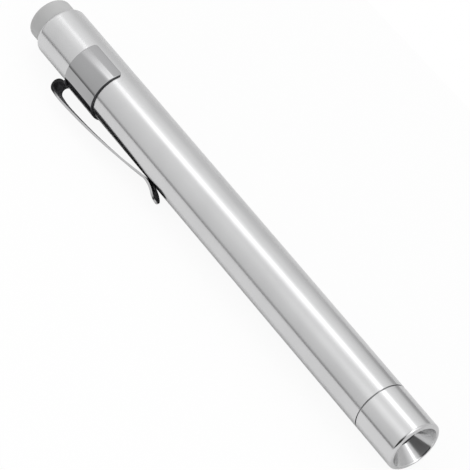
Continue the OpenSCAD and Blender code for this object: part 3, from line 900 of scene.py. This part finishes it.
class PENLIGHT_OT_clip(bpy.types.Operator):
    """Forms the one-piece spring clip: band, hairpin, crest, foot and lifted tip"""

    bl_idname = "penlight.clip"
    bl_label = "Pocket clip"

    def execute(self, context):
        sizes, finishes = settings(context)
        band = band_values(sizes)
        clip = self.cut_band(sizes, band)
        self.round_corners(clip, sizes, band)
        self.draw_strip(clip, sizes, band)
        merge_points()
        face_out()
        steel = polished("clip_steel", finishes.clip, 0.05, 3 * MICRON, 0.6 * MICRON)
        # The clip's inner side and the band's edges get steel painted dark as shade
        dark = shade_painted("clip_dark_as_shade", finishes.inner_shade)
        # The cut edge gets painted shade round the hairpin's bend
        cut_edge = edge_with_painted_shade("clip_edge_painted_shade", finishes.cut_edge, band.edge - 0.5 * MM, band.edge + 1.5 * MM)
        clothe(clip, dark, steel, dark, cut_edge)

        def on_strip(point):
            return point.x < band.edge or point.x > band.far or point.z > band.middle + 0.2 * MM

        paint_faces(clip, 1, on_strip)
        finish_modifier(
            clip, "SOLIDIFY", thickness=sizes.clip_t, offset=0.0, use_even_offset=True,
            material_offset=1, material_offset_rim=2,
        )
        self.thin_ends(clip, band)
        finish_modifier(
            clip, "BEVEL", width=CLIP_BEVEL, segments=4, limit_method="ANGLE", angle_limit=50 * DEGREE
        )
        roll = atan2(clip_across.y, -clip_across.z)
        only(clip)
        clip.rotation_euler = (pi / 2 + roll, 0, 0)
        clip.location = (0, axis_point.y, axis_point.z)
        bpy.ops.object.transform_apply()
        smooth(clip, 40)
        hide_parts("clip_band", "clip_arm")
        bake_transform(clip)
        return {"FINISHED"}

    def cut_band(self, sizes, band):
        """Cuts the band from a tube, with support loops beside its edges."""
        only(None)
        bpy.ops.mesh.primitive_cylinder_add(
            vertices=BAND_COLUMNS, radius=band.middle, depth=sizes.band_len, end_fill_type="NOTHING",
            location=(band.edge + sizes.band_len / 2, 0, 0), rotation=(0, pi / 2, 0),
        )
        clip = begin("pocket_clip")
        pick(clip, "FACE", lambda point: abs(turn_of(point)) > band.half_wrap)
        bpy.ops.mesh.delete(type="FACE")
        for inward in (0.2 * MM, 1.6 * MM, 3.6 * MM):
            for cut in (band.edge + inward, band.far - inward):
                bpy.ops.mesh.select_all(action="SELECT")
                bpy.ops.mesh.bisect(plane_co=(cut, 0, 0), plane_no=(1, 0, 0))
        return clip

    def round_corners(self, clip, sizes, band):
        """Turns the last columns of points together and pulls their ends in to a round corner."""
        column_turn = tau / BAND_COLUMNS
        last = round(band.half_wrap / column_turn) * column_turn
        reach = 0.3 * MM

        def in_column(point, turn, part):
            return abs(turn_of(point) - turn) < column_turn / part

        for side in (-1, 1):
            for column in range(5):
                here = side * (last - column * column_turn)
                arc = column * pi / 8
                from_end = sizes.band_corner * (1 - cos(arc))
                inset = sizes.band_corner * (1 - sin(arc))
                there = side * (band.half_wrap - from_end / band.middle)
                pick(clip, "VERT", lambda p: in_column(p, here, 8))
                bpy.ops.transform.rotate(value=there - here, orient_axis="X", center_override=(0, 0, 0))
                for end, pull in ((band.edge, inset), (band.far, -inset)):
                    pick(clip, "VERT", lambda p: in_column(p, there, 16) and abs(p.x - end) < reach)
                    bpy.ops.transform.translate(value=(pull, 0, 0))

    def draw_strip(self, clip, sizes, band):
        """Extrudes the strip row by row from the middle of the band's tail edge and flattens its root."""
        widest = STEM_TURN + 0.2 * DEGREE
        pick(clip, "EDGE", lambda p: abs(p.x - band.edge) < CLOSE and abs(turn_of(p)) < widest)
        rows = clip_rows(sizes)
        root = sizes.root_w / 2
        wide = half = band.middle * sin(STEM_TURN)
        x, level = band.edge, rows[0][1]
        steps = 4
        lead = (x + total_length / 2 - rows[0][0]) / steps
        left = 1.0
        for row in range(1, steps + 1):
            bpy.ops.mesh.extrude_edges_move(TRANSFORM_OT_translate={"value": (-lead, 0, 0)})
            x -= lead
            now = 1.0 - row / steps
            flat = now * now * (3 - 2 * now)
            narrower = root + (wide - root) * flat
            bpy.ops.transform.resize(value=(1, narrower / half, flat / left), center_override=(x, 0, level))
            half, left = narrower, flat
        for station, reach, width in rows[1:]:
            there = station - total_length / 2
            bpy.ops.mesh.extrude_edges_move(TRANSFORM_OT_translate={"value": (there - x, 0, reach - level)})
            x, level = there, reach
            if abs(width - half) > 1e-9:
                bpy.ops.transform.resize(value=(1, width / half, 1), center_override=(x, 0, level))
                half = width

    def thin_ends(self, clip, band):
        """Flattens the outside of the band before a soft fold, and thins it from there to each end."""
        start, fold, flat = 4.6 * MM, 2.0 * MM, 0.067 * MM
        slope, ease = 0.07, 0.028

        def drop(place):
            along = start - max(place, fold)
            past = max(fold - place, 0.0)
            return flat * (1 - cos(pi * along / fold)) / 2 + past * (slope - ease * past / fold)

        def from_end(point):
            return (band.half_wrap - abs(turn_of(point))) * band.middle

        def outside(point):
            return point.x > band.edge - CLOSE and hypot(point.y, point.z) > band.middle

        places = {round(from_end(point.co), 6) for point in clip.data.vertices if outside(point.co)}
        for place in sorted(places):
            if place < start:
                pick(clip, "VERT", lambda p: outside(p) and abs(from_end(p) - place) < CLOSE)
                thinner = 1 - drop(place) / band.middle
                bpy.ops.transform.resize(value=(1, thinner, thinner), center_override=(0, 0, 0))


class PENLIGHT_OT_cells(bpy.types.Operator):
    """Finishes the two cells and the card tube round them"""

    bl_idname = "penlight.cells"
    bl_label = "Cells"

    def execute(self, context):
        finishes = context.scene.penlight_finishes
        core = moulded("cell_filling", finishes.dark, 0.8, 1500.0, 20 * MICRON)
        jacket = moulded("cell_jacket", finishes.jacket, 0.3, 1200.0, 3 * MICRON)
        dress(bright("can_steel", finishes.steel, 0.28), "front_cell_can", "rear_cell_can")
        dress(core, "front_cell_core", "rear_cell_core")
        dress(jacket, "front_cell_jacket", "rear_cell_jacket")
        dress(moulded("sleeve_card", finishes.card, 0.85, 1800.0, 20 * MICRON), "cell_sleeve")
        return {"FINISHED"}


class PENLIGHT_OT_switch(bpy.types.Operator):
    """Finishes the switch body and its contacts and winds the two springs"""

    bl_idname = "penlight.switch"
    bl_label = "Switch"

    def execute(self, context):
        sizes, finishes = settings(context)
        wire = bright("spring_wire", finishes.steel, 0.3)
        dress(moulded("switch_plastic", finishes.ivory, 0.45, 2500.0, 6 * MICRON), "switch_body")
        dress(bright("switch_brass", finishes.brass, 0.24), "contact_rivet", "contact_plunger")
        dress(bright("washer_steel", finishes.steel, 0.32), "earth_washer")
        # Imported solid, first and last radius, turns, moving body, and which ends are fixed and moved
        springs = (
            ("return_spring", 3.2 * MM, 3.2 * MM, 6, "button", 1, 0),
            ("cell_spring", 3.7 * MM, 2.3 * MM, 5, "cells", 0, 1),
        )
        for node, first_r, last_r, turns, body, fixed, moved in springs:
            spring = coil(node.replace("spring", "coil"), node, first_r, last_r, turns, sizes.wire_d)
            clothe(spring, wire)
            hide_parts(node)
            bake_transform(spring)
        return {"FINISHED"}


class PENLIGHT_OT_stage(bpy.types.Operator):
    """Lays the pale floor, hangs the soft studio light and sets the camera"""

    bl_idname = "penlight.stage"
    bl_label = "Stage"

    def execute(self, context):
        stage = context.scene.penlight_stage
        self.lay_floor(stage)
        self.hang_light(context, stage)
        self.set_camera(context, stage)
        context.scene.view_settings.view_transform = "Standard"
        return {"FINISHED"}

    def lay_floor(self, stage):
        """A pale floor that ends behind the barrel, white to the camera, with painted shade that leaves it
        darker behind the barrel than before it.
        """
        only(None)
        middle = 68 * MM - stage.floor_side / 2
        bpy.ops.mesh.primitive_plane_add(size=stage.floor_side, location=(0, middle, 0))
        floor = begin("pale_floor")
        edit_all("FACE")
        bpy.ops.mesh.subdivide(number_cuts=8)
        only(floor)
        material = bpy.data.materials.new("pale_floor")
        nodes = Nodes(material)
        nodes.tree.nodes.clear()
        across = nodes.split(nodes.add("TexCoord").outputs["Object"])["Y"]
        shade = nodes.add("Mix")
        shade.data_type = "RGBA"
        # Painted shade: the floor's colour is paler before the barrel and darker behind it
        before, behind = ((*dimmed(stage.floor, factor), 1.0) for factor in (1.07, 0.94))
        nodes.set(shade, Factor=nodes.ramp(across, -15 * MM, 15 * MM), A=before, B=behind)
        paper = nodes.add("BsdfDiffuse", Color=shade.outputs["Result"])
        path = nodes.add("LightPath").outputs
        seen = nodes.calc("MULTIPLY", path["Is Camera Ray"], stage.floor_glow)
        clear = nodes.ramp(across, -5.5 * MM, -11.5 * MM, 0.03, 0.7)
        seen = nodes.calc("MULTIPLY_ADD", path["Is Glossy Ray"], clear, seen)
        seen = nodes.calc("MULTIPLY_ADD", path["Is Transmission Ray"], 0.3, seen)
        mix = nodes.add("MixShader", Fac=seen)
        nodes.put(mix.inputs[1], paper.outputs["BSDF"])
        nodes.put(mix.inputs[2], nodes.add("Emission").outputs["Emission"])
        nodes.add("OutputMaterial", Surface=mix.outputs["Shader"])
        floor.data.materials.append(material)

    def hang_light(self, context, stage):
        """A soft sky with a long box over the barrel, a second one beside it and a box before the head."""
        world = bpy.data.worlds.new("soft_studio")
        context.scene.world = world
        nodes = Nodes(world)
        nodes.tree.nodes.clear()
        calc, ramp, between = nodes.calc, nodes.ramp, nodes.between
        x, y, z = nodes.split(nodes.add("TexCoord").outputs["Generated"])

        def off_line(turn, rise):
            """Degrees between the direction and a line at so many degrees round and up."""
            turn, rise = turn * DEGREE, rise * DEGREE
            flat = calc("MULTIPLY_ADD", y, cos(rise) * sin(turn), calc("MULTIPLY", x, cos(rise) * cos(turn)))
            return calc("DEGREES", calc("ARCCOSINE", calc("MULTIPLY_ADD", z, sin(rise), flat)))

        # The barrel mirrors directions whose x runs from -0.58 at its tail to -0.42 at its head
        azimuth = calc("ARCTAN2", y, x)
        around = calc("ARCTAN2", y, z)

        # Sky on both sides of the barrel, with a gap low on the far side, and sky before the head
        low = calc("ADD", ramp(z, 0.05, 0.19, 0.3, 0.77), ramp(x, -0.47, -0.44, 0.0, -0.08))
        near = calc("MULTIPLY_ADD", z, 0.23, low)
        gap = calc("MULTIPLY", ramp(x, -0.485, -0.45), ramp(z, 0.3, 0.0, 0.0, 0.38))
        far = calc("SUBTRACT", ramp(z, 0.15, 0.75, 0.81, 1.1), gap)
        front = calc("ADD", 0.77, ramp(off_line(18.0, 37.0), 37.0, 0.0, 0.0, stage.front_light))
        sky = between(ramp(x, -0.4, 0.0), between(ramp(y, -0.25, 0.25), near, far), front)

        # Dark screen that the reflector mirrors
        off_screen = calc("ABSOLUTE", calc("ADD", azimuth, 43 * DEGREE))
        below = ramp(z, sin(54 * DEGREE), sin(41 * DEGREE))
        screen = calc("MULTIPLY", ramp(off_screen, 30 * DEGREE, 25 * DEGREE), below)
        sky = between(calc("MULTIPLY", screen, ramp(z, 0.02, 0.1)), sky, 0.03)

        # Long box over the barrel, which drifts round it from tail to head, with a core of two lines
        drift = calc("MULTIPLY_ADD", x, 2.35, 2.35 * 0.51 + 15.7 * DEGREE)
        drift = calc("MINIMUM", drift, 27 * DEGREE)
        drift = calc("ADD", drift, ramp(x, -0.562, -0.578, 0.0, -13 * DEGREE))
        drift = calc("ADD", drift, ramp(x, -0.42, 0.2, 0.0, -11 * DEGREE))
        off_key = calc("ABSOLUTE", calc("SUBTRACT", around, drift))
        width = ramp(x, -0.485, -0.445, 20 * DEGREE, 14 * DEGREE)
        core = ramp(off_key, 8 * DEGREE, 6.5 * DEGREE, 0.0, stage.key_light)
        split = ramp(off_key, 3 * DEGREE, 1.5 * DEGREE, 0.0, stage.key_light * 0.45)
        core = calc("MULTIPLY", calc("SUBTRACT", core, split), ramp(x, -0.552, -0.535, 1.5, 0.9))
        key = calc("ADD", core, ramp(calc("DIVIDE", off_key, width), 1.0, 0.0, 0.0, stage.key_light))
        key = calc("MULTIPLY", key, ramp(x, -0.573, -0.562, 0.17, 1.0))
        key = calc("MULTIPLY", key, ramp(x, 0.55, 0.35))

        # Second box along the front half of the barrel, and the box before the head
        second = calc("ABSOLUTE", calc("ADD", around, 22 * DEGREE))
        second = calc("MULTIPLY", ramp(second, 27 * DEGREE, 0.0, 0.0, 0.46), ramp(x, -0.475, -0.435))
        head_box = ramp(off_line(15.0, 43.5), 11.0, 3.0, 0.0, stage.front_light * 2.4)
        boxes = calc("MULTIPLY_ADD", second, ramp(x, -0.25, -0.38), key)
        boxes = calc("MULTIPLY", calc("ADD", boxes, head_box), ramp(z, 0.0, 0.2))

        camera_ray = nodes.add("LightPath").outputs["Is Camera Ray"]
        light = between(camera_ray, calc("ADD", sky, boxes), 1.0)
        background = nodes.add("Background", Color=(1.0, 1.0, 1.0, 1.0), Strength=light)
        nodes.add("OutputWorld", Surface=background.outputs["Background"])

    def set_camera(self, context, stage):
        """A long lens that looks down along the barrel from the lamp's side."""
        a, e = stage.azimuth, stage.elevation
        right = Vector((cos(a), sin(a), 0))
        up = Vector((-sin(a) * sin(e), cos(a) * sin(e), cos(e)))
        back = Vector((sin(a) * cos(e), -cos(a) * cos(e), sin(e)))
        target = Vector((-1.8 * MM, axis_point.y, axis_point.z))
        place = target + right * 3.78 * MM - up * 4.23 * MM + back * stage.distance
        only(None)
        bpy.ops.object.camera_add(location=place)
        camera = bpy.context.object
        camera.name = "camera"
        camera.rotation_euler = Matrix((right, up, back)).transposed().to_euler()
        optics = camera.data
        optics.sensor_width = SENSOR
        optics.sensor_fit = "AUTO"
        optics.lens = FOCAL_LENGTH * SENSOR / IMAGE_SIDE
        optics.clip_start = 0.01
        optics.clip_end = 100.0
        context.scene.camera = camera


PIECES = (
    PENLIGHT_OT_barrel, PENLIGHT_OT_head, PENLIGHT_OT_reflector, PENLIGHT_OT_lamp, PENLIGHT_OT_button,
    PENLIGHT_OT_clip, PENLIGHT_OT_cells, PENLIGHT_OT_switch, PENLIGHT_OT_stage,
)


class PENLIGHT_PT_panel(bpy.types.Panel):
    """Lists the pieces of the penlight"""

    bl_idname = "PENLIGHT_PT_panel"
    bl_label = "Penlight"
    bl_space_type = "VIEW_3D"
    bl_region_type = "UI"
    bl_category = "Penlight"

    def draw(self, context):
        for piece in PIECES:
            self.layout.operator(piece.bl_idname)


GROUPS = (
    ("penlight_sizes", PenlightSizes),
    ("penlight_finishes", PenlightFinishes),
    ("penlight_stage", PenlightStage),
)


def register():
    for name, group in GROUPS:
        bpy.utils.register_class(group)
        setattr(bpy.types.Scene, name, bpy.props.PointerProperty(type=group))
    for piece in PIECES:
        bpy.utils.register_class(piece)
    bpy.utils.register_class(PENLIGHT_PT_panel)


def unregister():
    bpy.utils.unregister_class(PENLIGHT_PT_panel)
    for piece in reversed(PIECES):
        bpy.utils.unregister_class(piece)
    for name, group in reversed(GROUPS):
        delattr(bpy.types.Scene, name)
        bpy.utils.unregister_class(group)


def main():
    register()
    bpy.ops.penlight.barrel()
    bpy.ops.penlight.head()
    bpy.ops.penlight.reflector()
    bpy.ops.penlight.lamp()
    bpy.ops.penlight.button()
    bpy.ops.penlight.clip()
    bpy.ops.penlight.cells()
    bpy.ops.penlight.switch()
    bpy.ops.penlight.stage()
    only(None)


if __name__ == "__main__":
    main()
